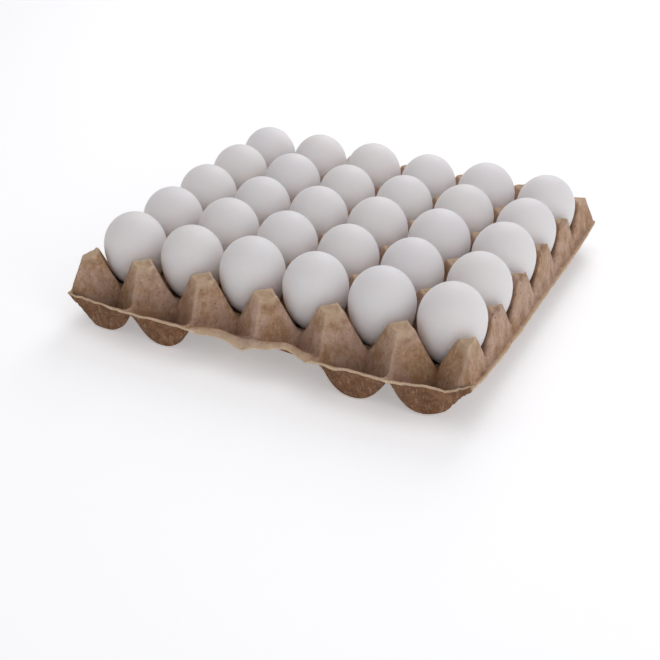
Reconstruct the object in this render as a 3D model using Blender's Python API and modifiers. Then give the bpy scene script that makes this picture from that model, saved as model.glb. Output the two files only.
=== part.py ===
"""Moulded pulp egg tray for thirty eggs, five rows of six, filled. Metres, +Z up.

The origin is at the middle of the tray, on the surface that the cup bottoms stand on.
+X runs along a row of six eggs and +Y from the front row to the back row.
"""
import math
import random

import bmesh
import bpy
import numpy as np
from mathutils import Matrix, Vector

# Driving dimensions of the tray
PITCH = 0.048             # from one egg to the next, both ways
COLUMNS = 6               # eggs along X
ROWS = 5                  # eggs along Y
WALL = 0.0020             # thickness of the pulp
POST_HEIGHT = 0.050       # top of the hollow posts between the eggs
POST_HALF = 0.0070        # half the width of a post's top
POST_DISH = 0.0010        # how far a post's top sinks in its middle
SADDLE_HEIGHT = 0.0265    # lowest point of the notch between two posts
NOTCH_SLOPE = 1.70        # how steeply a post's edge drops into the notch beside it
NOTCH_INSET = 0.0030      # how far the outer notches are drawn in towards their eggs
FLOOR_HALF = 0.0090       # radius of a cup's flat bottom
RING_HALF = 0.0170        # half the width of the grid's ring that is drawn in to the shoulder
SHOULDER_HALF = 0.0158    # radius of a cup at the shoulder, the height at which the egg rests
SHOULDER_HEIGHT = 0.0220
CUP_RADII = (0.0, FLOOR_HALF, SHOULDER_HALF, 0.0203, 0.0270, 0.0330)
FLAT_LIMIT = 0.0007       # anything of the underside lower than this is made level

# The two plain sides, left and right, where the outer posts are cut off
SIDE_RING = 0.1370        # the grid's last line inside them, from the middle of the tray
SIDE_POST_EDGE = 0.1420   # outer edge of those posts' tops
SIDE_FOOT = 0.1475        # where their outer faces reach the rim
SIDE_EDGE = 0.1500        # outer edge of the rim
SIDE_RIM_HEIGHT = 0.0200

# The two sides with a pocket in front of every egg, front and back
POCKET_NOTCH = PITCH * ROWS / 2
POCKET_POST_EDGE = 0.1270
POCKET_INNER = 0.1310     # the pocket's floor starts here
POCKET_OUTER = 0.1370     # and ends here, at the foot of its outer wall
POCKET_SIDE = 0.0090      # half the width of that floor
POCKET_FLOOR_HEIGHT = 0.0040
RIDGE_HEIGHT = 0.0240     # ridge between two pockets, in line with a post
POCKET_RIM = 0.1450
POCKET_EDGE = 0.1480      # outer edge of the rim
POCKET_RIM_HEIGHT = 0.0255
POCKET_STEP = 0.0040      # how far the pocket's inner edge stands over its floor
RIM_RISE = 0.0010         # how far the rim's outer edge stands over its inner one

# The corners, where the rim runs in and down to a tip
CREASE_OUT = 0.0042       # how far the crease from a corner post to the tip runs out
CREASE_HEIGHT = 0.0225    # its height at the pocket's outer line
CORNER_HEIGHT = 0.0235
CORNER_PRESS = 0.0085     # how far the rim is drawn in
FRONT_RIGHT_PRESS = 0.0125
FRONT_RIGHT_LIFT = 0.0075 # this corner of the rim is bent up too
CORNER_START = 2 * PITCH  # the bend starts this far from the middle of the tray

# Pockets of the front side that are crushed, counted from the left
CRUSHED = {2: (0.0130, 0.0050), 3: (0.0120, 0.0040)}   # floor raised by, rim pushed in by

# Driving dimensions of an egg, blunt end up
EGG_RADIUS = 0.0222
EGG_BLUNT = 0.0245        # from the widest section up to the blunt end
EGG_POINTED = 0.0325      # from the widest section down to the pointed end
EGG_WAIST_HEIGHT = 0.0486
EGG_SPREAD = 0.030        # the smallest egg is this share below full size
EGG_LEAN = math.radians(1.6)
EGG_SEGMENTS = 12
EGG_RINGS = 9
EGG_SEED = 5

CUP_HEIGHTS = (WALL, WALL, SHOULDER_HEIGHT, 0.036, POST_HEIGHT, 0.060)   # at CUP_RADII
CUP_OFFSETS = (-RING_HALF, -FLOOR_HALF, 0.0, FLOOR_HALF, RING_HALF)
HALF_PITCH = PITCH / 2
NEAR = 0.0001             # places closer than this are the same line of the grid


def clear_scene():
    for obj in list(bpy.data.objects):
        bpy.data.objects.remove(obj, do_unlink=True)


def make_material(name, colour, roughness):
    material = bpy.data.materials.new(name)
    material.use_nodes = True
    shader = material.node_tree.nodes["Principled BSDF"]
    shader.inputs["Base Color"].default_value = (*colour, 1.0)
    shader.inputs["Roughness"].default_value = roughness
    shader.inputs["Metallic"].default_value = 0.0
    return material


def cup_centres(count):
    return [(k - (count - 1) / 2) * PITCH for k in range(count)]


def grid_lines(count, first_outer, outer):
    """Places of the grid's lines along one axis: three rings to a cup, then the edge."""
    lines = set()
    for centre in cup_centres(count):
        lines.update(round(centre + offset, 6) for offset in CUP_OFFSETS)
        lines.update(round(centre + side * HALF_PITCH, 6) for side in (-1, 1))
    lines = {value for value in lines if abs(value) < first_outer + 1e-6}
    lines.update(side * value for value in outer for side in (-1, 1))
    return sorted(lines)


def nearest(value, centres):
    return min(centres, key=lambda centre: abs(value - centre))


def round_cups(x, y, cups_x, cups_y):
    """Pull the grid's square rings round each cup into circles."""
    centre_x, centre_y = nearest(x, cups_x), nearest(y, cups_y)
    dx, dy = x - centre_x, y - centre_y
    reach = max(abs(dx), abs(dy))
    if reach < NEAR or reach > RING_HALF + NEAR:
        return x, y
    radius = SHOULDER_HALF if reach > RING_HALF - NEAR else reach
    scale = radius / math.hypot(dx, dy)
    return centre_x + dx * scale, centre_y + dy * scale


def cup_wall(radius):
    """Height of a cup's wall over its bottom, also where it climbs the posts."""
    return float(np.interp(radius, CUP_RADII, CUP_HEIGHTS))


def notch_edge(across):
    """Height of the edge from a post's top down into a notch, by the distance along it."""
    return max(POST_HEIGHT - NOTCH_SLOPE * max(across - POST_HALF, 0.0), SADDLE_HEIGHT)


def pleated_wall(out, across):
    """Height of the pocketed sides' outer wall, which folds out to a crease at every post.

    out is the distance from the middle of the tray and across the one from a post's middle.
    """
    slope = (POST_HEIGHT - RIDGE_HEIGHT) / (POCKET_OUTER - POCKET_POST_EDGE)
    fold = (POST_HEIGHT - SADDLE_HEIGHT) / slope + POCKET_POST_EDGE - POCKET_NOTCH
    pushed = fold * min(across / HALF_PITCH, 1.0)
    wall = POST_HEIGHT - slope * max(out - POCKET_POST_EDGE + pushed, 0.0)
    return min(wall, notch_edge(across))


def cup_height(x, y, cups_x, cups_y):
    dx = x - nearest(x, cups_x)
    dy = y - nearest(y, cups_y)
    from_post_x, from_post_y = abs(HALF_PITCH - abs(dx)), abs(HALF_PITCH - abs(dy))
    top = notch_edge(from_post_x + from_post_y)
    if max(from_post_x, from_post_y) < NEAR:
        top -= POST_DISH
    return min(top, cup_wall(math.hypot(dx, dy)))


def side_height(x, y, cups_y):
    """The plain sides: one flat wall, cut to teeth between the notches, down to the rim."""
    if abs(x) < SIDE_POST_EDGE + NEAR:
        return notch_edge(HALF_PITCH - abs(y - nearest(y, cups_y)))
    to_tip = min(max(abs(y) - CORNER_START, 0.0) / (POCKET_OUTER - CORNER_START), 1.0)
    return SIDE_RIM_HEIGHT + (CORNER_HEIGHT - SIDE_RIM_HEIGHT) * to_tip


def pocket_height(x, y, cups_x):
    """The pocketed sides: posts' outer faces, pockets, the ridges between them and the rim."""
    out = abs(y)
    column = cups_x.index(nearest(x, cups_x))
    from_cup = abs(x - cups_x[column])
    reach, top = HALF_PITCH, RIDGE_HEIGHT
    if abs(x) > cups_x[-1]:
        reach, top = SIDE_POST_EDGE + CREASE_OUT - cups_x[-1], CREASE_HEIGHT
    raised = CRUSHED[column][0] if y < 0 and column in CRUSHED else 0.0
    floor = POCKET_FLOOR_HEIGHT + raised
    climb = max(from_cup - POCKET_SIDE, 0.0) / (reach - POCKET_SIDE)
    ridge = floor + (top - floor) * min(climb, 1.0)
    wall = pleated_wall(out, max(reach - from_cup, 0.0))
    if out < POCKET_POST_EDGE + NEAR:
        return max(wall, floor + POCKET_STEP)
    if out < POCKET_OUTER - NEAR:
        return max(wall, ridge)
    if out < POCKET_OUTER + NEAR:
        return ridge
    to_tip = max(abs(x) - CORNER_START, 0.0) / (SIDE_EDGE - CORNER_START)
    rim = POCKET_RIM_HEIGHT + (CORNER_HEIGHT - POCKET_RIM_HEIGHT) * to_tip
    return rim if out > POCKET_RIM + NEAR else rim - RIM_RISE


def shape_rim(x, y, cups_x):
    """Draw the pocketed sides' rim in towards the corners, and push it in where it is crushed."""
    press = FRONT_RIGHT_PRESS if x > 0 > y else CORNER_PRESS
    to_tip = max(abs(x) - CORNER_START, 0.0) / (SIDE_EDGE - CORNER_START)
    outward = max(abs(y) - POCKET_POST_EDGE, 0.0) / (POCKET_EDGE - POCKET_POST_EDGE)
    new_y = y - math.copysign(press * to_tip * outward, y)
    column = cups_x.index(nearest(x, cups_x))
    if y < -POCKET_OUTER - NEAR and column in CRUSHED:
        from_cup = abs(x - cups_x[column]) / HALF_PITCH
        new_y += CRUSHED[column][1] * max(1.0 - from_cup ** 2, 0.0)
    return x, new_y


def bend_corner(x, y, height):
    """Bend the front right corner of the rim up."""
    if x < SIDE_POST_EDGE + NEAR and y > -POCKET_OUTER - NEAR:
        return height
    along_x = max(x - CORNER_START, 0.0) / (SIDE_EDGE - CORNER_START)
    along_y = max(-y - PITCH, 0.0) / (POCKET_EDGE - PITCH)
    return height + FRONT_RIGHT_LIFT * along_x ** 2 * along_y ** 2


def tray_point(x, y, cups_x, cups_y):
    if abs(y) > POCKET_NOTCH + NEAR:
        if abs(abs(x) - SIDE_POST_EDGE) < NEAR:
            along = (abs(y) - POCKET_POST_EDGE) / (POCKET_OUTER - POCKET_POST_EDGE)
            x += math.copysign(CREASE_OUT * min(along, 1.0), x)
        if abs(x) < SIDE_FOOT - NEAR or abs(y) > POCKET_OUTER + NEAR:
            height = pocket_height(x, y, cups_x)
        else:
            height = side_height(x, y, cups_y)
        return *shape_rim(x, y, cups_x), bend_corner(x, y, height)
    if abs(x) > SIDE_POST_EDGE - NEAR:
        return x, y, bend_corner(x, y, side_height(x, y, cups_y))
    if abs(y) > POCKET_NOTCH - NEAR:
        drawn_in = NOTCH_INSET * ((HALF_PITCH - abs(x - nearest(x, cups_x))) / HALF_PITCH) ** 2
        return x, y - math.copysign(drawn_in, y), cup_height(x, y, cups_x, cups_y)
    new_x, new_y = round_cups(x, y, cups_x, cups_y)
    return new_x, new_y, cup_height(new_x, new_y, cups_x, cups_y)


def make_tray(collection, material):
    """A grid whose lines are set by the cups, pressed into shape and given its thickness."""
    cups_x, cups_y = cup_centres(COLUMNS), cup_centres(ROWS)
    lines_x = grid_lines(COLUMNS, SIDE_RING, (SIDE_POST_EDGE, SIDE_FOOT, SIDE_EDGE))
    lines_y = grid_lines(ROWS, POCKET_NOTCH, (POCKET_POST_EDGE, POCKET_INNER, POCKET_OUTER,
                                              POCKET_RIM, POCKET_EDGE))
    bpy.ops.mesh.primitive_grid_add(x_subdivisions=len(lines_x) - 1,
                                    y_subdivisions=len(lines_y) - 1, size=2.0)
    tray = bpy.context.active_object
    tray.name = "tray"
    for vertex in tray.data.vertices:
        column = round((vertex.co.x + 1) / 2 * (len(lines_x) - 1))
        row = round((vertex.co.y + 1) / 2 * (len(lines_y) - 1))
        vertex.co = tray_point(lines_x[column], lines_y[row], cups_x, cups_y)
    mesh = bmesh.new()
    mesh.from_mesh(tray.data)
    bmesh.ops.triangulate(mesh, faces=mesh.faces, quad_method="SHORT_EDGE")
    mesh.to_mesh(tray.data)
    mesh.free()
    shell = tray.modifiers.new("pulp", "SOLIDIFY")
    shell.thickness = WALL
    shell.offset = -1.0
    shell.use_even_offset = False
    bpy.ops.object.modifier_apply(modifier=shell.name)
    for vertex in tray.data.vertices:
        if vertex.co.z < FLAT_LIMIT:
            vertex.co.z = 0.0
    tray.data.materials.append(material)
    move_to(collection, tray)
    return tray


def egg_profile():
    """Half an egg's outline from the blunt end down to the pointed end, round its waist."""
    points = []
    for k in range(EGG_RINGS + 1):
        angle = math.pi * k / EGG_RINGS
        reach = EGG_BLUNT if angle < math.pi / 2 else EGG_POINTED
        points.append((EGG_RADIUS * math.sin(angle), 0.0, reach * math.cos(angle)))
    points[0] = (0.0, 0.0, EGG_BLUNT)
    points[-1] = (0.0, 0.0, -EGG_POINTED)
    return points


def make_egg(name, place, scale, lean, turn, collection, material):
    mesh = bpy.data.meshes.new(name)
    points = egg_profile()
    mesh.from_pydata(points, [(k, k + 1) for k in range(len(points) - 1)], [])
    egg = bpy.data.objects.new(name, mesh)
    collection.objects.link(egg)
    screw = egg.modifiers.new("turn", "SCREW")
    screw.axis = "Z"
    screw.steps = EGG_SEGMENTS
    screw.render_steps = EGG_SEGMENTS
    screw.use_merge_vertices = True
    screw.merge_threshold = 0.0001
    direction = Vector((math.cos(turn), math.sin(turn), 0.0))
    tilt = Matrix.Rotation(lean, 4, direction)
    egg.matrix_world = Matrix.Translation(place) @ tilt @ Matrix.Scale(scale, 4)
    mesh.materials.append(material)
    return egg


def make_eggs(collection, material):
    """Eggs a little unlike in size and lean; a smaller one sits deeper in its cup."""
    draw = random.Random(EGG_SEED)
    for row, y in enumerate(cup_centres(ROWS)):
        for column, x in enumerate(cup_centres(COLUMNS)):
            scale = 1.0 - EGG_SPREAD * draw.random()
            lean, turn = EGG_LEAN * draw.random(), 2 * math.pi * draw.random()
            sunk = (1.0 - scale) * EGG_POINTED
            place = Vector((x, y, EGG_WAIST_HEIGHT - sunk))
            make_egg(f"egg_{'abcde'[row]}{column + 1}", place, scale, lean, turn,
                     collection, material)


def move_to(collection, obj):
    for other in list(obj.users_collection):
        other.objects.unlink(obj)
    collection.objects.link(obj)


def main():
    clear_scene()
    collection = bpy.data.collections.new("egg_tray_with_eggs")
    bpy.context.scene.collection.children.link(collection)
    pulp = make_material("brown_pulp", (0.27, 0.19, 0.14), 0.95)
    shell = make_material("white_eggshell", (0.72, 0.70, 0.70), 0.55)
    make_tray(collection, pulp)
    make_eggs(collection, shell)


main()
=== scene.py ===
# Egg tray of moulded pulp with thirty white eggs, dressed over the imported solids.
# Metres, +Z up. +X runs along a row of six eggs, +Y from the front row to the back row.
import math
import random

import bpy
import numpy as np
from mathutils import Matrix, Vector, noise


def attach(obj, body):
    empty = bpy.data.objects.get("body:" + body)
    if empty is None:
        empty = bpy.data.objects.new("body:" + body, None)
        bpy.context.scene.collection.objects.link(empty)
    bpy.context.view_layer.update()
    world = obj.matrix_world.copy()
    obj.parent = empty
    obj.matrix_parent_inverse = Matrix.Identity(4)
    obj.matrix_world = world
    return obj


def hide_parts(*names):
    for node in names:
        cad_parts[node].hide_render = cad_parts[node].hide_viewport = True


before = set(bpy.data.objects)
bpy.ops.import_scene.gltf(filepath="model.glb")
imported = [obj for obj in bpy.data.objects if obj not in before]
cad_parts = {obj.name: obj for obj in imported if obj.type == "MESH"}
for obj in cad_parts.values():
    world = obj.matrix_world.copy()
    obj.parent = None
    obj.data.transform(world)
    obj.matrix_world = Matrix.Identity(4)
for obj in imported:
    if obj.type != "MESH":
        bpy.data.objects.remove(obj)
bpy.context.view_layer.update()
print("frame loaded")


# Shader maths: a socket that can be added, multiplied and compared like a number

class Signal:
    def __init__(self, maker, socket):
        self.maker = maker
        self.socket = socket

    def maths(self, operation, first, second=0.0):
        return self.maker.node("ShaderNodeMath", {"operation": operation}, {0: first, 1: second})

    def __add__(self, other):
        return self.maths("ADD", self, other)

    def __radd__(self, other):
        return self.maths("ADD", other, self)

    def __sub__(self, other):
        return self.maths("SUBTRACT", self, other)

    def __rsub__(self, other):
        return self.maths("SUBTRACT", other, self)

    def __mul__(self, other):
        return self.maths("MULTIPLY", self, other)

    def __rmul__(self, other):
        return self.maths("MULTIPLY", other, self)

    def __abs__(self):
        return self.maths("ABSOLUTE", self)

    def largest(self, other):
        return self.maths("MAXIMUM", self, other)

    def step(self, low, high):
        # 0 at low, 1 at high, smooth between, also with low above high
        return self.maker.node("ShaderNodeMapRange", {"interpolation_type": "SMOOTHSTEP"},
                               {"Value": self, "From Min": low, "From Max": high})

    def sibling(self, output):
        # another output of the same node
        return Signal(self.maker, self.socket.node.outputs[output])


class Finish:
    def __init__(self, name):
        self.material = bpy.data.materials.new(name)
        self.material.use_nodes = True
        self.tree = self.material.node_tree
        self.shader = self.tree.nodes["Principled BSDF"]
        self.place = self.node("ShaderNodeTexCoord", output="Object")

    def node(self, kind, settings=None, values=None, output=0):
        made = self.tree.nodes.new(kind)
        for key, setting in (settings or {}).items():
            setattr(made, key, setting)
        for key, value in (values or {}).items():
            self.feed(made.inputs[key], value)
        return Signal(self, made.outputs[output])

    def feed(self, socket, value):
        if isinstance(value, Signal):
            self.tree.links.new(value.socket, socket)
        else:
            socket.default_value = value

    def stretched(self, scale, shift=(0.0, 0.0, 0.0)):
        return self.node("ShaderNodeMapping", None,
                         {"Vector": self.place, "Scale": scale, "Location": shift})

    def shifted(self, shift):
        return self.stretched((1, 1, 1), shift)

    def cloud(self, scale, detail=2.0, rough=0.5, distortion=0.0, place=None):
        return self.node("ShaderNodeTexNoise", None,
                         {"Vector": place or self.place, "Scale": scale, "Detail": detail,
                          "Roughness": rough, "Distortion": distortion}, "Fac")

    def spots(self, scale, smallest, largest, share, place=None):
        # round specks in a share of the cells of a Voronoi pattern, 1 inside them
        distance = self.node("ShaderNodeTexVoronoi", None,
                             {"Vector": place or self.place, "Scale": scale}, "Distance")
        draws = self.node("ShaderNodeSeparateColor", None, {"Color": distance.sibling("Color")}, "Red")
        chosen = draws.step(share, share * 0.9)
        size = draws.sibling("Green") * (largest - smallest) + smallest
        return (size - distance).step(0.0, 0.08) * chosen

    def attribute(self, name):
        return self.node("ShaderNodeAttribute", {"attribute_name": name}, None, "Fac")

    def mix(self, factor, first, second, blend="MIX"):
        return self.node("ShaderNodeMix", {"data_type": "RGBA", "blend_type": blend},
                         {0: factor, 6: first, 7: second}, 2)

    def bump(self, height, distance, strength=1.0):
        return self.node("ShaderNodeBump", None,
                         {"Height": height, "Distance": distance, "Strength": strength})

    def wear(self, **sockets):
        for name, value in sockets.items():
            self.feed(self.shader.inputs[name.replace("_", " ")], value)
        return self.material


# Camera, floor and light

cameraSettings = {
    "lens": 59.84, "sensorWidth": 36.0, "clipStart": 0.02, "azimuth": 27.19, "elevation": 30.42,
    "roll": -0.54, "distance": 0.669, "aim": (0.0592, -0.1446, 0.0500),
}


def placeCamera(s):
    azimuth, elevation, roll = (math.radians(s[key]) for key in ("azimuth", "elevation", "roll"))
    back = Vector((math.sin(azimuth) * math.cos(elevation),
                   -math.cos(azimuth) * math.cos(elevation), math.sin(elevation)))
    right = Vector((math.cos(azimuth), math.sin(azimuth), 0.0))
    up = back.cross(right)
    turnedRight = right * math.cos(roll) + up * math.sin(roll)
    turnedUp = up * math.cos(roll) - right * math.sin(roll)
    turn = Matrix((turnedRight, turnedUp, back)).transposed().to_4x4()
    bpy.ops.object.camera_add()
    camera = bpy.context.object
    camera.name = "photoCamera"
    camera.data.lens = s["lens"]
    camera.data.sensor_width = s["sensorWidth"]
    camera.data.clip_start = s["clipStart"]
    camera.matrix_world = Matrix.Translation(Vector(s["aim"]) + back * s["distance"]) @ turn
    bpy.context.scene.camera = camera


studioSettings = {
    "floorColour": (0.98, 0.98, 0.98), "floorSize": 8.0, "floorRough": 0.8, "floorGlow": 0.33,
    "skyColour": (0.985, 0.975, 1.0), "skyStrength": 0.37,
    # name, place, aim, size, watts, colour
    "lamps": (
        ("backLamp", (-0.2, 1.4, 1.0), (0.0, 0.0, 0.03), 1.0, 8.8, (0.95, 0.955, 1.0)),
        ("rightLamp", (1.45, -0.6, 0.8), (0.0, 0.0, 0.03), 1.0, 4.6, (0.95, 0.955, 1.0)),
        ("frontLamp", (0.80, -1.45, 0.60), (0.0, 0.0, 0.03), 1.0, 0.9, (0.95, 0.98, 1.0)),
        ("topLamp", (0.05, 0.10, 0.90), (0.0, 0.04, 0.03), 0.8, 1.3, (0.96, 0.955, 1.0)),
    ),
}


def layFloor(s):
    bpy.ops.mesh.primitive_plane_add(size=s["floorSize"], location=(0, 0, 0))
    floor = bpy.context.object
    floor.name = "paleFloor"
    paint = Finish("paleFloorPaint").wear(
        Base_Color=(*s["floorColour"], 1.0), Roughness=s["floorRough"],
        Emission_Color=(1.0, 1.0, 1.0, 1.0), Emission_Strength=s["floorGlow"])
    floor.data.materials.append(paint)


def hangLamps(s):
    bpy.context.scene.view_settings.view_transform = "Standard"
    world = bpy.data.worlds.new("softSky")
    bpy.context.scene.world = world
    world.use_nodes = True
    background = world.node_tree.nodes["Background"]
    background.inputs["Color"].default_value = (*s["skyColour"], 1.0)
    background.inputs["Strength"].default_value = s["skyStrength"]
    for name, place, aim, size, watts, colour in s["lamps"]:
        bpy.ops.object.light_add(type="AREA", location=place)
        lamp = bpy.context.object
        lamp.name = name
        lamp.data.shape = "DISK"
        lamp.data.size = size
        lamp.data.energy = watts
        lamp.data.color = colour
        lamp.rotation_euler = (Vector(aim) - Vector(place)).to_track_quat("-Z", "Y").to_euler()


placeCamera(cameraSettings)
layFloor(studioSettings)
hangLamps(studioSettings)
print("camera, floor and lamps are set")


# The tray: a fine grid over its plan, raised by a formula for each part of the pressed sheet.
# Pairs of numbers are where a change begins and where it is full, in metres.

tray = {
    "pitch": 0.048, "columns": 6, "rows": 5, "wall": 0.0020,
    "postHeight": 0.050, "postHalf": 0.0080, "postDish": 0.0024, "postTopRound": 0.0029,
    "dishReach": 0.0062, "topRaise": 0.0004,
    "saddle": 0.0250, "saddleRound": 0.0026,
    "frontSaddles": (0.0230, 0.0250, 0.0246, 0.0246, 0.0234, 0.0220), "frontBand": (0.1080, 0.1180),
    "notchSlope": 1.75, "notchHollow": 0.10, "creaseRound": 0.0008,
    "sideBow": 0.88, "bowFades": (0.010, 0.002),      # below 1 the posts' sides are hollow
    # tops of the posts at the ends of the pocketed sides are nearly flat
    "flatShare": 0.8, "flatAlong": (0.1300, 0.1380), "flatOut": (0.1130, 0.1180),
    # distances from a cup's middle, and the heights there
    "cup": ((0.0, 0.0075, 0.0095, 0.0120, 0.0142, 0.0158, 0.0172, 0.0203, 0.0270, 0.0330),
            (0.002, 0.002, 0.003, 0.0085, 0.0160, 0.0215, 0.0265, 0.036, 0.050, 0.060)),
    "cupBlend": 0.0022, "wallBlend": 0.0016, "pocketBlend": 0.0030, "rimBlend": 0.0012,
    "sideRimBlend": 0.0008, "topSpare": 0.0005, "wallStart": 0.004,
    "sidePost": 0.1420, "sideFoot": 0.1475, "sideEdge": 0.1500, "sideRim": 0.0200,
    "sideStart": 0.003, "sideFold": 0.0024,           # the side walls draw in between the posts
    "pocketPost": 0.1270, "pocketInner": 0.1310, "pocketOuter": 0.1370, "pocketRim": 0.1450,
    "pocketEdge": 0.1480, "rimHeight": 0.0266, "rimRise": 0.0010, "rimShift": 0.0098,
    "notchInset": 0.0030, "insetWidth": 0.0035,
    "pocketFloor": 0.0030, "flapFoot": 0.1384, "flapBow": 0.85, "ridge": 0.0250,
    "climbMiddle": 2.3, "climbCorner": 3.2, "climbFrontRight": 1.8,
    "creaseFoot": 0.0288, "creaseHeight": 0.0235,
    "cornerHeight": 0.0235, "cornerPress": 0.0096, "frontRightPress": 0.0130, "pressStart": 0.002,
    "tipLean": 0.0022, "frontRightLift": 0.0075, "liftStart": 0.002, "liftEnd": 0.003,
    "farRightDrop": 0.0025, "dropAlong": (0.1250, 0.1400), "dropBack": (0.1080, 0.1230),
    "dropUp": (0.0260, 0.0480),
    # the two crushed front pockets: ends, floor, foot of the flap, start and curl of the rim
    "crushEnds": (-0.047, -0.036, 0.040, 0.050), "crushFloor": 0.0140, "crushFoot": 0.1260,
    "crushRim": 0.1421, "crushCurl": 0.0030, "curlBow": 1.4, "crushPush": 0.0020,
    # dents of the front rim: place along x, half width, pushed in, pressed down
    "dents": ((-0.025, 0.008, 0.0035, 0.0), (-0.006, 0.006, 0.0, 0.0030),
              (0.024, 0.012, 0.0066, -0.0014), (0.062, 0.008, 0.0, 0.0008),
              (-0.080, 0.010, 0.0, 0.0006), (0.135, 0.009, 0.0, 0.0034)),
    # lines of the grid in millimetres from a cup's middle to the next post
    "linesX": (0, 2.6, 5.2, 7.6, 9.8, 11.8, 13.5, 14.9, 16.1, 17.2, 18.2, 19.2, 20.1, 21.0, 21.8,
               22.6, 23.3, 24),
    "linesY": (0, 4.5, 8.0, 10.6, 12.6, 14.2, 15.5, 16.7, 17.8, 18.8, 19.7, 20.6, 21.4, 22.2, 23.1,
               24),
    "lastLineX": 0.1362, "edgeStep": 0.00088, "foldAngle": 50,
}

# how far the sheet strays from true, with the scale and the seed of each noise
uneven = {
    "warp": 0.0007, "slow": (26.0, 1), "edgeWave": 0.0008, "quick": (170.0, 11),
    "fine": (520.0, 21), "fineShare": 0.45, "wallUp": (0.006, 0.014),
    "sideMargin": 0.001, "pocketMargin": 0.002,
    "torn": 0.0022, "tornDown": (900.0, 41), "tornAcross": (900.0, 42), "tornLower": 0.25,
    "acrossShare": 0.6, "tornUp": (0.0445, 0.0475), "tornFrom": (0.1375, 0.1395),
    "tornUntil": (0.1432, 0.1422), "tornRows": 0.11,
    "rimThin": 0.5, "thin": (60.0, 31), "thinMean": 0.75, "thinSwing": 0.5,
    "flatFoot": 0.0006, "edgeSpare": 0.0004,
}

# where the marks of the paint lie, painted highlights and painted shade among them
marks = {
    "foldWidth": 0.0016, "foldFrom": (0.1215, 0.1260), "foldUntil": (0.1470, 0.1440),
    "foldAlong": 0.12,
    "cornerFold": 0.8, "cornerFoldPlace": 0.0006, "cornerFoldWidth": 0.0012,
    "cornerFoldUp": (0.030, 0.036),
    "sideFold": 0.45, "sideFoldFrom": (0.1395, 0.1412), "sideFoldUp": (0.023, 0.028),
    "sideRows": 0.12,
    "stainHeight": 0.0255, "stainWidth": 0.0035, "stainFrom": (0.1385, 0.1405),
    "stainPlace": 0.16, "stainRound": (0.14, 0.04),
    "rawSide": (0.0026, 0.0008), "rawBand": 0.0014, "rawEnd": 0.0004,
    "crushBand": 0.0052, "crushNarrow": 0.0030, "narrowPlace": 0.022, "narrowWidth": 0.013,
    "lip": 0.6, "lipFrom": (0.0052, 0.0068), "lipUntil": (0.0090, 0.0078), "lipUp": (0.0455, 0.0475),
    "topFrom": (0.0088, 0.0066), "topUp": (0.044, 0.047),
    "sideTops": 0.75, "sideTopsFrom": (0.1370, 0.1400), "sideTopsRows": 0.1100,
    "footDown": (0.0380, 0.0280), "footUntil": (0.1440, 0.1410),
    "creviceDown": (0.034, 0.016), "creviceRows": 0.1185, "creviceAlong": 0.1405,
    "pocketShade": 0.8, "pocketDown": (0.0230, 0.0110), "pocketFrom": (0.1210, 0.1260),
    "pocketUntil": (0.1462, 0.1440),
    "crushShade": 0.7, "crushInside": 0.0030, "crushWidth": 0.0016,
}


def softMin(first, second, blend):
    share = np.clip(0.5 + 0.5 * (second - first) / blend, 0.0, 1.0)
    return second + (first - second) * share - blend * share * (1.0 - share)


def softMax(first, second, blend):
    return -softMin(-first, -second, blend)


def ramp(value, low, high):
    return np.clip((value - low) / (high - low), 0.0, 1.0)


def smooth(value, low, high):
    share = ramp(value, low, high)
    return share * share * (3.0 - 2.0 * share)


def bell(value, width):
    return np.exp(-(value / width) ** 2)


def middleOfCup(value, count, pitch):
    k = np.clip(np.round(value / pitch + (count - 1) / 2), 0, count - 1)
    return (k - (count - 1) / 2) * pitch, k.astype(int)


def fromPosts(value, count, s):
    # distance from the nearest line of posts, measured inside the cups
    middle, _ = middleOfCup(value, count, s["pitch"])
    return np.clip(s["pitch"] / 2 - np.abs(value - middle), 0.0, None)


def lastCup(s):
    return (s["columns"] - 1) / 2 * s["pitch"]


def notchLine(s):
    return s["pitch"] * s["rows"] / 2


def gridLines(count, steps, lastRing, edge, s):
    lines = set()
    for k in range(count):
        middle = (k - (count - 1) / 2) * s["pitch"]
        for step in steps:
            lines.update(round(middle + side * step / 1000, 6) for side in (-1, 1))
    lines = {value for value in lines if abs(value) <= lastRing + 1e-6}
    rings = round((edge - lastRing) / s["edgeStep"])
    for k in range(1, rings + 1):
        lines.update(round(side * (lastRing + (edge - lastRing) * k / rings), 6)
                     for side in (-1, 1))
    return np.array(sorted(lines))


def noiseAt(points, scale, seed):
    offset = Vector((seed * 7.31, seed * 3.17, seed * 5.93))
    return np.array([noise.noise(Vector(point) * scale + offset) for point in points])


def saddleAt(x, y, s):
    # the bottoms of the notches, uneven along the front
    _, column = middleOfCup(x, s["columns"], s["pitch"])
    front = np.array(s["frontSaddles"])[column]
    return s["saddle"] + (front - s["saddle"]) * ramp(-y, *s["frontBand"])


def notchEdge(across, saddle, s):
    # height of a post's side by the distance from its middle, a little hollow
    full = (s["postHeight"] - saddle) / s["notchSlope"]
    share = np.clip(across - s["postHalf"], 0.0, None) / full
    hollow = s["notchHollow"]
    side = s["postHeight"] - s["notchSlope"] * full * share * (1.0 + hollow - hollow * share)
    side = softMin(side + s["topRaise"], np.full_like(side, s["postHeight"]), s["postTopRound"])
    return softMax(side, saddle, s["saddleRound"])


def crease(distance, s):
    # a distance from a fold, with the fold itself rounded
    bend = s["creaseRound"]
    return np.hypot(distance, bend) - bend * np.clip(1.0 - distance / (s["pitch"] / 2), 0.0, 1.0)


def crushShare(x, y, s):
    a, b, c, d = s["crushEnds"]
    return np.where(y < 0, smooth(x, a, b) * smooth(x, d, c), 0.0)


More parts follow.
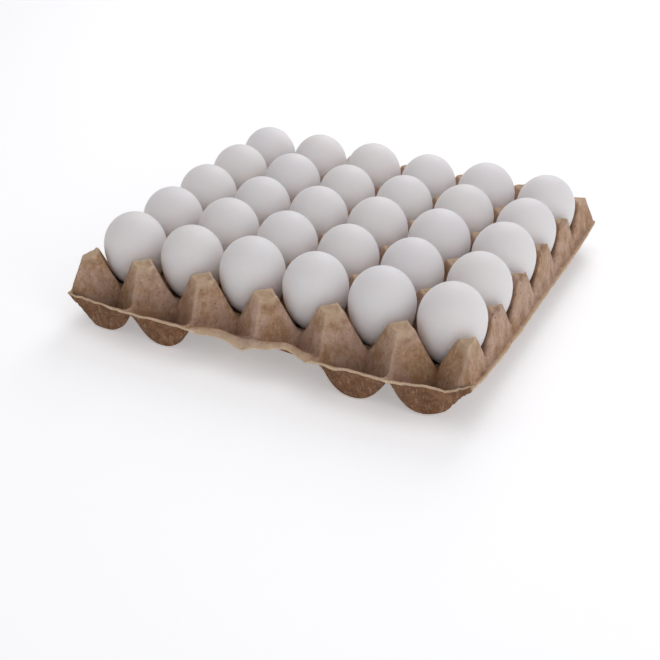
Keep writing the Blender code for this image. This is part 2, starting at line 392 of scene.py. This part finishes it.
def cupPart(x, y, s):
    # the cups and the posts between them, and the distance across from a post's middle
    half, lastX = s["pitch"] / 2, lastCup(s)
    cupX, _ = middleOfCup(x, s["columns"], s["pitch"])
    cupY, _ = middleOfCup(y, s["rows"], s["pitch"])
    fromX, fromY = fromPosts(x, s["columns"], s), fromPosts(y, s["rows"], s)
    toSide = np.clip(s["sidePost"] - np.abs(x), 0.0, None) * half / (s["sidePost"] - lastX)
    fromX = np.where(np.abs(x) > lastX, toSide, fromX)
    fromX, fromY = crease(fromX, s), crease(fromY, s)
    across = (fromX ** s["sideBow"] + fromY ** s["sideBow"]) ** (1.0 / s["sideBow"])
    across = across + (fromX + fromY - across) * ramp(across, *s["bowFades"])
    top = notchEdge(across, saddleAt(x, y, s), s)
    corner = ramp(np.abs(x), *s["flatAlong"]) * ramp(np.abs(y), *s["flatOut"])
    dish = 1.0 - ramp(across, 0.0, s["dishReach"]) ** 2
    top = top - s["postDish"] * (1.0 - s["flatShare"] * corner) * dish
    cup = np.interp(np.hypot(np.abs(x - cupX), np.abs(y - cupY)), *s["cup"])
    return softMin(top, cup, s["cupBlend"]), across


def pocketWall(x, out, across, saddle, s):
    # the pleated wall from the outer posts down into the pockets
    slope = (s["postHeight"] - s["ridge"]) / (s["pocketOuter"] - s["pocketPost"])
    fold = (s["postHeight"] - s["saddle"]) / slope + s["pocketPost"] - notchLine(s)
    pushed = fold * np.clip(across / (s["pitch"] / 2), 0.0, 1.0)
    down = np.clip(out - s["pocketPost"] + pushed, -s["wallStart"], None)
    wall = s["postHeight"] + s["topSpare"] - slope * down
    wall = softMin(wall, notchEdge(across, saddle, s), s["wallBlend"])
    dished = s["postDish"] * (1.0 - ramp(np.hypot(across, out - notchLine(s)),
                                         0.0, s["dishReach"]) ** 2)
    return wall - dished * (1.0 - s["flatShare"] * ramp(np.abs(x), *s["flatAlong"]))


def pocketPart(x, y, s):
    # the pockets in front of the cups, with their flaps and the rim
    out = np.abs(y)
    outermost = np.abs(x) > lastCup(s)
    crush = crushShare(x, y, s)
    cupX, _ = middleOfCup(x, s["columns"], s["pitch"])
    reach = np.where(outermost, s["creaseFoot"], s["pitch"] / 2)
    top = np.where(outermost, s["creaseHeight"], s["ridge"])
    floor = s["pocketFloor"] + (s["crushFloor"] - s["pocketFloor"]) * crush
    atCorner = np.where((x > 0) & (y < 0), s["climbFrontRight"], s["climbCorner"])
    power = np.where(outermost, atCorner, s["climbMiddle"])
    climb = np.clip(np.abs(x - cupX) / reach, 0.0, 1.0) ** power
    ridge = floor + np.clip(top - floor, 0.0, None) * climb
    across = np.where(outermost, np.clip(s["sidePost"] - np.abs(x), 0.0, None),
                      fromPosts(x, s["columns"], s))
    wall = pocketWall(x, out, crease(across, s), saddleAt(x, y, s), s)
    toCorner = ramp(np.abs(x), 2 * s["pitch"], s["sideEdge"])
    rim = s["rimHeight"] - s["rimRise"] + (s["cornerHeight"] - s["rimHeight"]) * toCorner
    foot = s["flapFoot"] + (s["crushFoot"] - s["flapFoot"]) * crush
    rimStart = s["pocketRim"] + (s["crushRim"] - s["pocketRim"]) * crush
    flap = ridge + (rim - ridge) * ramp(out, foot, rimStart) ** s["flapBow"]
    lip = (s["rimRise"] * ramp(out, s["pocketRim"], s["pocketEdge"]) * (1.0 - crush)
           - s["crushCurl"] * crush * ramp(out, rimStart, s["pocketEdge"]) ** s["curlBow"])
    for place, width, _, down in s["dents"]:
        pressed = down * bell(x - place, width) * ramp(out, s["pocketOuter"], s["pocketRim"])
        lip = lip - np.where(y < 0, pressed, 0.0)
    return softMax(wall, flap, s["pocketBlend"]) + lip


def addSides(x, y, height, s):
    # the plain walls of the sides with five eggs, and their rim
    out, beside = np.abs(y), np.abs(x)
    drawnIn = s["sideFold"] * np.clip(crease(fromPosts(y, s["rows"], s), s) / (s["pitch"] / 2),
                                      0.0, 1.0)
    toTip = ramp(out, 2 * s["pitch"], s["pocketOuter"])
    lean = s["tipLean"] * ramp(out, s["pocketPost"] - s["wallStart"], s["pocketOuter"])
    slope = (s["postHeight"] - s["sideRim"]) / (s["sideFoot"] - s["sidePost"] + lean)
    rim = s["sideRim"] + (s["cornerHeight"] - s["sideRim"]) * toTip
    wall = s["postHeight"] + s["topSpare"] - slope * (beside - s["sidePost"] + drawnIn)
    wall = softMax(wall, rim, s["sideRimBlend"])
    start = s["sidePost"] - s["sideStart"]
    height = np.where(beside > start, softMin(height, wall, s["wallBlend"]), height)
    rimFrom = start + s["rimShift"] * ramp(out, s["pocketPost"], s["pocketOuter"])
    return np.where(beside > rimFrom, softMax(height, rim, s["rimBlend"]), height)


def moveOut(x, y, s):
    # notches of the pocketed sides are drawn in, the rim is pressed in at corners and dents
    out, beside = np.abs(y), np.abs(x)
    fromPost = fromPosts(x, s["columns"], s) / (s["pitch"] / 2)
    drawn = s["notchInset"] * fromPost ** 2 * bell(out - notchLine(s), s["insetWidth"])
    press = np.where((x > 0) & (y < 0), s["frontRightPress"], s["cornerPress"])
    toCorner = ramp(beside, 2 * s["pitch"], s["sideEdge"])
    outward = ramp(out, s["pocketOuter"] - s["pressStart"], s["pocketEdge"])
    moved = out - drawn - press * toCorner * outward
    inward = s["crushPush"] * crushShare(x, y, s)
    for place, width, push, _ in s["dents"]:
        inward = inward + np.where(y < 0, push * bell(x - place, width), 0.0)
    moved = moved - inward * ramp(out, s["pocketInner"], s["pocketRim"])
    return np.copysign(moved, y)


def bendCorners(x, y, height, s):
    # the far right post is worn lower, the front right corner is bent up
    out, beside = np.abs(y), np.abs(x)
    worn = (ramp(x, *s["dropAlong"]) * ramp(y, *s["dropBack"])
            * ramp(height, *s["dropUp"]))
    alongX = ramp(x, 2 * s["pitch"], s["sideEdge"])
    alongY = ramp(-y, s["pitch"], s["pocketEdge"])
    onRim = np.maximum(ramp(beside, s["sidePost"] - s["liftStart"], s["sideFoot"]),
                       ramp(out, s["pocketInner"], s["pocketOuter"] + s["liftEnd"]))
    lift = s["frontRightLift"] * alongX ** 2 * alongY ** 2 * onRim
    return height - s["farRightDrop"] * worn + lift


def trayShape(x, y, s):
    inner, across = cupPart(x, y, s)
    height = np.where(np.abs(y) > notchLine(s), pocketPart(x, y, s), inner)
    height = addSides(x, y, height, s)
    return moveOut(x, y, s), bendCorners(x, y, height, s), across


def strayFromTrue(points, x, y, edge, s, u):
    # hand-pressed pulp: slow bends everywhere, short waves along the rim, torn tops at the sides
    beside, height = np.abs(x), points[:, 2].copy()
    wall = ramp(height, *u["wallUp"])
    for axis in range(3):
        slow, quick, fine = (noiseAt(points, scale, seed + axis)
                             for scale, seed in (u["slow"], u["quick"], u["fine"]))
        waves = quick * u["edgeWave"] + fine * u["edgeWave"] * u["fineShare"]
        points[:, axis] += slow * u["warp"] * wall + waves * edge
    torn = (ramp(height, *u["tornUp"]) * smooth(beside, *u["tornFrom"])
            * smooth(beside, *u["tornUntil"]) * (np.abs(y) < u["tornRows"]))
    points[:, 2] += torn * u["torn"] * (noiseAt(points, *u["tornDown"]) - u["tornLower"])
    points[:, 0] += torn * u["torn"] * u["acrossShare"] * noiseAt(points, *u["tornAcross"])
    points[:, 0] = np.clip(points[:, 0], -s["sideEdge"], s["sideEdge"])
    points[:, 1] = np.clip(points[:, 1], -s["pocketEdge"], s["pocketEdge"])
    points[:, 2] = np.clip(points[:, 2], s["wall"], None)


def markPulp(x, y, height, across, s, m):
    # shares from 0 to 1 that the paint of the pulp reads; among them painted highlights on the folds
    # and painted shade low in the walls, cups and pockets
    beside, out = np.abs(x), np.abs(y)
    crush = crushShare(x, y, s)
    # painted highlights along the creases of the pocketed walls and the corner posts, and over the
    # upper side walls
    foldHighlights = (bell(fromPosts(x, s["columns"], s), m["foldWidth"]) * smooth(out, *m["foldFrom"])
             * (beside < m["foldAlong"]) * smooth(out, *m["foldUntil"]))
    cornerFoldHighlights = (m["cornerFold"] * bell(beside - s["sidePost"] - m["cornerFoldPlace"],
                                          m["cornerFoldWidth"])
                   * (out > s["pocketPost"]) * ramp(height, *m["cornerFoldUp"]))
    sideWallHighlights = (m["sideFold"] * smooth(beside, *m["sideFoldFrom"])
                 * ramp(height, *m["sideFoldUp"]) * (out < m["sideRows"]))
    fromStain = np.abs(np.abs((y / s["pitch"]) % 1.0 - 0.5) - m["stainPlace"])
    stain = (bell(height - m["stainHeight"], m["stainWidth"]) * smooth(beside, *m["stainFrom"])
             * smooth(fromStain, *m["stainRound"]) * (out < m["sideRows"]))
    narrow = m["crushNarrow"] * bell(x - m["narrowPlace"], m["narrowWidth"])
    band = m["rawBand"] + crush * (m["crushBand"] - narrow)
    sideRim, rimLine = (s["sideEdge"] - inset for inset in m["rawSide"])
    rims = np.maximum(ramp(beside, sideRim, rimLine),
                      ramp(out, s["pocketEdge"] - band, s["pocketEdge"] - m["rawEnd"]))
    onTops = 1.0 - m["sideTops"] * smooth(beside, *m["sideTopsFrom"]) * (out < m["sideTopsRows"])
    lips = (ramp(across, *m["lipFrom"]) * ramp(across, *m["lipUntil"])
            * ramp(height, *m["lipUp"])) * m["lip"] * onTops
    # painted shade: darker low down in the cups and pockets, and a thin dark line behind the crushed
    # rim
    shadeInCups = (ramp(height, *m["creviceDown"]) * (out < m["creviceRows"])
              * (beside < m["creviceAlong"]))
    shadeInPockets = (m["pocketShade"] * ramp(height, *m["pocketDown"])
                 * smooth(out, *m["pocketFrom"]) * smooth(out, *m["pocketUntil"]))
    shadeAtCrush = m["crushShade"] * crush * bell(out - s["crushRim"] + m["crushInside"], m["crushWidth"])
    return {
        "fold": foldHighlights + cornerFoldHighlights + sideWallHighlights,
        "stain": stain,
        "rawEdge": np.maximum(rims, lips),
        "postTop": ramp(across, *m["topFrom"]) * ramp(height, *m["topUp"]) * onTops,
        # painted shade, darker towards the foot of the pocketed walls
        "foot": (smooth(height, *m["footDown"]) * smooth(out, *m["foldFrom"])
                 * smooth(out, *m["footUntil"])),
        "paintedShade": np.clip(shadeInCups + shadeInPockets + shadeAtCrush, 0.0, 1.0),
    }


def layGrid(s):
    # a plain grid, and for each of its points the place in the plan
    linesX = gridLines(s["columns"], s["linesX"], s["lastLineX"], s["sideEdge"], s)
    linesY = gridLines(s["rows"], s["linesY"], notchLine(s), s["pocketEdge"], s)
    bpy.ops.object.select_all(action="DESELECT")
    bpy.ops.mesh.primitive_grid_add(x_subdivisions=len(linesX) - 1,
                                    y_subdivisions=len(linesY) - 1, size=2.0)
    piece = bpy.context.object
    flat = np.empty(len(piece.data.vertices) * 3)
    piece.data.vertices.foreach_get("co", flat)
    flat = flat.reshape(-1, 3)
    x = linesX[np.round((flat[:, 0] + 1) / 2 * (len(linesX) - 1)).astype(int)]
    y = linesY[np.round((flat[:, 1] + 1) / 2 * (len(linesY) - 1)).astype(int)]
    return piece, x, y


def shapeTray(s, u, m):
    piece, x, y = layGrid(s)
    piece.name = "pulpTray"
    newY, height, across = trayShape(x, y, s)
    points = np.stack([x, newY, height], axis=1)
    edge = np.maximum(ramp(np.abs(x), s["sideFoot"] - u["sideMargin"], s["sideEdge"]),
                      ramp(np.abs(y), s["pocketRim"] - u["pocketMargin"], s["pocketEdge"]))
    strayFromTrue(points, x, y, edge, s, u)
    piece.data.vertices.foreach_set("co", points.ravel())
    piece.data.update()

    bpy.ops.object.modifier_add(type="SOLIDIFY")
    thickness = piece.modifiers[-1]
    thickness.thickness = s["wall"]
    thickness.offset = -1.0
    thickness.use_even_offset = False
    bpy.ops.object.modifier_apply(modifier=thickness.name)
    count, total = len(points), len(piece.data.vertices)
    print("tray:", count, "->", total, "vertices,", len(piece.data.polygons), "faces")

    # the points of the underside follow those of the top, in the same order
    masks = {name: np.concatenate([mask, mask])
             for name, mask in markPulp(x, y, height, across, s, m).items()}
    masks["under"] = np.concatenate([np.zeros(count), np.ones(total - count)])
    for name, mask in masks.items():
        layer = piece.data.attributes.new(name, "FLOAT", "POINT")
        layer.data.foreach_set("value", np.ascontiguousarray(mask, dtype=np.float32))
    co = np.empty(total * 3)
    piece.data.vertices.foreach_get("co", co)
    co = co.reshape(-1, 3)
    thin = 1.0 - u["rimThin"] * edge * (u["thinMean"] + u["thinSwing"] * noiseAt(points, *u["thin"]))
    co[count:] = co[:count] + (co[count:] - co[:count]) * thin[:, None]
    co[:, 2] = np.where(co[:, 2] < u["flatFoot"], 0.0, co[:, 2])
    co[:, 0] = np.clip(co[:, 0], -s["sideEdge"], s["sideEdge"] + u["edgeSpare"])
    piece.data.vertices.foreach_set("co", co.ravel())
    piece.data.update()
    bpy.ops.object.shade_smooth_by_angle(angle=math.radians(s["foldAngle"]))
    return piece


pulp = {
    "grey": (0.686, 0.459, 0.352), "ochre": (0.551, 0.324, 0.180), "rust": (0.421, 0.209, 0.113),
    "light": (0.855, 0.632, 0.464), "dark": (0.078, 0.035, 0.019), "raw": (0.960, 0.734, 0.501),
    "top": (0.803, 0.601, 0.409), "underRust": (0.280, 0.122, 0.053),
    "underDark": (0.165, 0.069, 0.029), "underShade": (0.72, 0.66, 0.60),
}

# sizes of the patterns, finer with a larger number
pulpGrain = {
    "patches": 38.0, "blots": 85.0, "mottle": 170.0, "fleck": 560.0, "grain": 950.0,
    "streaks": (560.0, 560.0, 46.0), "coarseThreads": 300.0, "fineThreads": 720.0,
    "darkSpecks": 330.0, "paleSpecks": 240.0, "pits": 95.0,
    "rough": 0.93, "sheen": 0.22, "relief": 0.0012, "reliefStrength": 0.85,
}


def makePulp(p, g):
    f = Finish("brownPulp")
    paint = {name: (*colour, 1.0) for name, colour in p.items()}
    raw, top = f.attribute("rawEdge"), f.attribute("postTop")
    paintedShade, under, fold = f.attribute("paintedShade"), f.attribute("under"), f.attribute("fold")
    stain, foot = f.attribute("stain"), f.attribute("foot")
    patches = f.cloud(g["patches"], 3.0, 0.6, 0.5)
    mottle = f.cloud(g["mottle"], 4.0, 0.62, 0.3)
    blots = f.cloud(g["blots"], 2.0, 0.5, 0.8, f.shifted((0.3, 0.5, 0.1)))
    grain = f.cloud(g["grain"], 3.0, 0.65)
    fleck = f.cloud(g["fleck"], 3.0, 0.6, 0.2, f.shifted((0.7, 0.2, 0.4)))
    streaks = f.cloud(1.0, 3.0, 0.6, place=f.stretched(g["streaks"]))
    coarse = abs(f.cloud(g["coarseThreads"], 1.5, 0.5, 1.8) - 0.5).step(0.022, 0.004)
    fine = abs(f.cloud(g["fineThreads"], 1.0, 0.5, 2.2) - 0.5).step(0.030, 0.006)
    threads = coarse.largest(fine * 0.7)
    darkSpecks = f.spots(g["darkSpecks"], 0.04, 0.24, 0.12)
    paleSpecks = f.spots(g["paleSpecks"], 0.03, 0.20, 0.08, f.shifted((0.4, 0.2, 0.7)))
    pits = f.spots(g["pits"], 0.02, 0.12, 0.07, f.shifted((0.1, 0.8, 0.3)))

    colour = f.mix(patches.step(0.40, 0.60), paint["grey"], paint["ochre"])
    colour = f.mix(blots.step(0.55, 0.72) * 0.45, colour, paint["rust"])
    colour = f.mix(mottle.step(0.50, 0.68) * 0.38, colour, paint["light"])
    colour = f.mix(mottle.step(0.50, 0.34) * 0.42, colour, paint["rust"])
    below = f.mix(mottle.step(0.40, 0.60), paint["underDark"], paint["underRust"])
    below = f.mix(blots.step(0.52, 0.70) * 0.5, below, paint["ochre"])
    colour = f.mix(under * 0.85, colour, below)
    colour = f.mix(streaks.step(0.52, 0.68) * 0.40, colour, paint["light"])
    colour = f.mix(streaks.step(0.48, 0.32) * 0.40, colour, paint["rust"])
    colour = f.mix(fleck.step(0.52, 0.70) * 0.24, colour, paint["light"])
    colour = f.mix(fleck.step(0.48, 0.30) * 0.30, colour, paint["underRust"])
    # stains at the notch feet of the side walls, and painted shade at the foot of the pocketed walls
    stainAndFootShade = (stain * (0.25 + 0.75 * mottle)).largest(foot * (1.0 - under) * 0.2)
    colour = f.mix(stainAndFootShade, colour, paint["underRust"])
    # painted highlights on the folds, varied by the mottle
    colour = f.mix(fold * (0.15 + 0.45 * mottle), colour, paint["light"])
    colour = f.mix(top * (0.45 + 0.5 * mottle), colour, paint["top"])
    colour = f.mix(raw * (0.45 + 0.55 * mottle), colour, paint["raw"])
    colour = f.mix(threads * 0.25, colour, paint["raw"])
    colour = f.mix(paleSpecks * 0.60, colour, paint["raw"])
    colour = f.mix((darkSpecks * 0.65).largest(pits * 0.85), colour, paint["dark"])
    # painted shade in the cups, the pockets and along the crushed rim
    colour = f.mix(paintedShade * (1.0 - under) * 0.50, colour, paint["dark"])
    colour = f.mix(under * (1.0 - raw), colour, paint["underShade"], "MULTIPLY")
    height = (mottle * 1.3 + grain * 0.45 + streaks * 0.6 + threads * 0.25
              + paleSpecks * 0.3 - pits * 1.4 - darkSpecks * 0.3)
    return f.wear(Base_Color=colour, Roughness=g["rough"], Specular_IOR_Level=g["sheen"],
                  Normal=f.bump(height, g["relief"], g["reliefStrength"]))


pulpTray = shapeTray(tray, uneven, marks)
pulpTray.data.materials.clear()
pulpTray.data.materials.append(makePulp(pulp, pulpGrain))
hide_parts("tray")
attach(pulpTray, "root")
print("tray is shaped")


# The eggs

egg = {
    "radius": 0.0225, "blunt": 0.0246, "pointed": 0.0325, "waist": 0.0486,
    "spread": 0.030, "lean": 1.6, "seed": 5, "toneBow": 1.6, "segments": 56, "rings": 36,
}

eggshell = {
    "white": (0.865, 0.833, 0.827), "cream": (0.869, 0.823, 0.793),
    "lilac": (0.849, 0.803, 0.815), "grey": (0.830, 0.810, 0.815), "speck": (0.45, 0.36, 0.28),
    "blushScale": 42.0, "poreScale": 1500.0, "dimpleScale": 420.0, "speckScale": 210.0,
    "sheen": 0.38, "scatter": (1.0, 0.85, 0.78), "scatterDepth": 0.032,
    "relief": 0.00022, "reliefStrength": 0.35,
}


def makeShell(c):
    f = Finish("whiteEggshell")
    paint = {name: (*c[name], 1.0) for name in ("white", "cream", "lilac", "grey", "speck")}
    tone = f.attribute("tone")
    blush = f.cloud(c["blushScale"], 2.0, 0.5)
    pores = f.cloud(c["poreScale"], 2.0, 0.6)
    dimples = f.cloud(c["dimpleScale"], 2.0, 0.5)
    specks = f.spots(c["speckScale"], 0.02, 0.10, 0.045)
    colour = f.mix(tone, paint["white"], paint["cream"])
    colour = f.mix(blush.step(0.45, 0.70) * 0.5, colour, paint["lilac"])
    colour = f.mix(blush.step(0.50, 0.25) * 0.4, colour, paint["grey"])
    colour = f.mix(specks * 0.10, colour, paint["speck"])
    return f.wear(Base_Color=colour, Roughness=0.52 + 0.10 * dimples, Specular_IOR_Level=c["sheen"],
                  Subsurface_Weight=1.0, Subsurface_Radius=c["scatter"],
                  Subsurface_Scale=c["scatterDepth"],
                  Normal=f.bump(pores * 0.5 + dimples * 0.6, c["relief"], c["reliefStrength"]))


def turnEgg(s):
    # one egg with its widest place at the origin, blunt end up
    bpy.ops.object.select_all(action="DESELECT")
    bpy.ops.mesh.primitive_uv_sphere_add(segments=s["segments"], ring_count=s["rings"], radius=1.0)
    piece = bpy.context.object
    for vertex in piece.data.vertices:
        x, y, z = vertex.co
        reach = s["blunt"] if z > 0 else s["pointed"]
        vertex.co = (x * s["radius"], y * s["radius"], z * reach)
    bpy.ops.object.shade_smooth()
    return piece


def placeEggs(s, t, finish):
    first = turnEgg(s)
    draw = random.Random(s["seed"])
    toneDraw = random.Random(s["seed"] + 1)
    for row in range(t["rows"]):
        for column in range(t["columns"]):
            scale = 1.0 - s["spread"] * draw.random()
            lean, turn = math.radians(s["lean"]) * draw.random(), 2 * math.pi * draw.random()
            # a smaller egg sinks until its pointed end is where the others' is
            place = Vector(((column - (t["columns"] - 1) / 2) * t["pitch"],
                            (row - (t["rows"] - 1) / 2) * t["pitch"],
                            s["waist"] - (1.0 - scale) * s["pointed"]))
            direction = Vector((math.cos(turn), math.sin(turn), 0.0))
            move = (Matrix.Translation(place) @ Matrix.Rotation(lean, 4, direction)
                    @ Matrix.Scale(scale, 4) @ Matrix.Rotation(turn, 4, "Z"))
            name = "abcde"[row] + str(column + 1)
            piece = first.copy()
            piece.data = first.data.copy()
            piece.name = "eggShell_" + name
            bpy.context.collection.objects.link(piece)
            piece.data.transform(move)
            tone = toneDraw.random() ** s["toneBow"]
            layer = piece.data.attributes.new("tone", "FLOAT", "POINT")
            layer.data.foreach_set("value", [tone] * len(piece.data.vertices))
            piece.data.materials.clear()
            piece.data.materials.append(finish)
            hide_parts("egg_" + name)
            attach(piece, "root")
    bpy.data.objects.remove(first, do_unlink=True)


placeEggs(egg, tray, makeShell(eggshell))
print("eggs are placed")
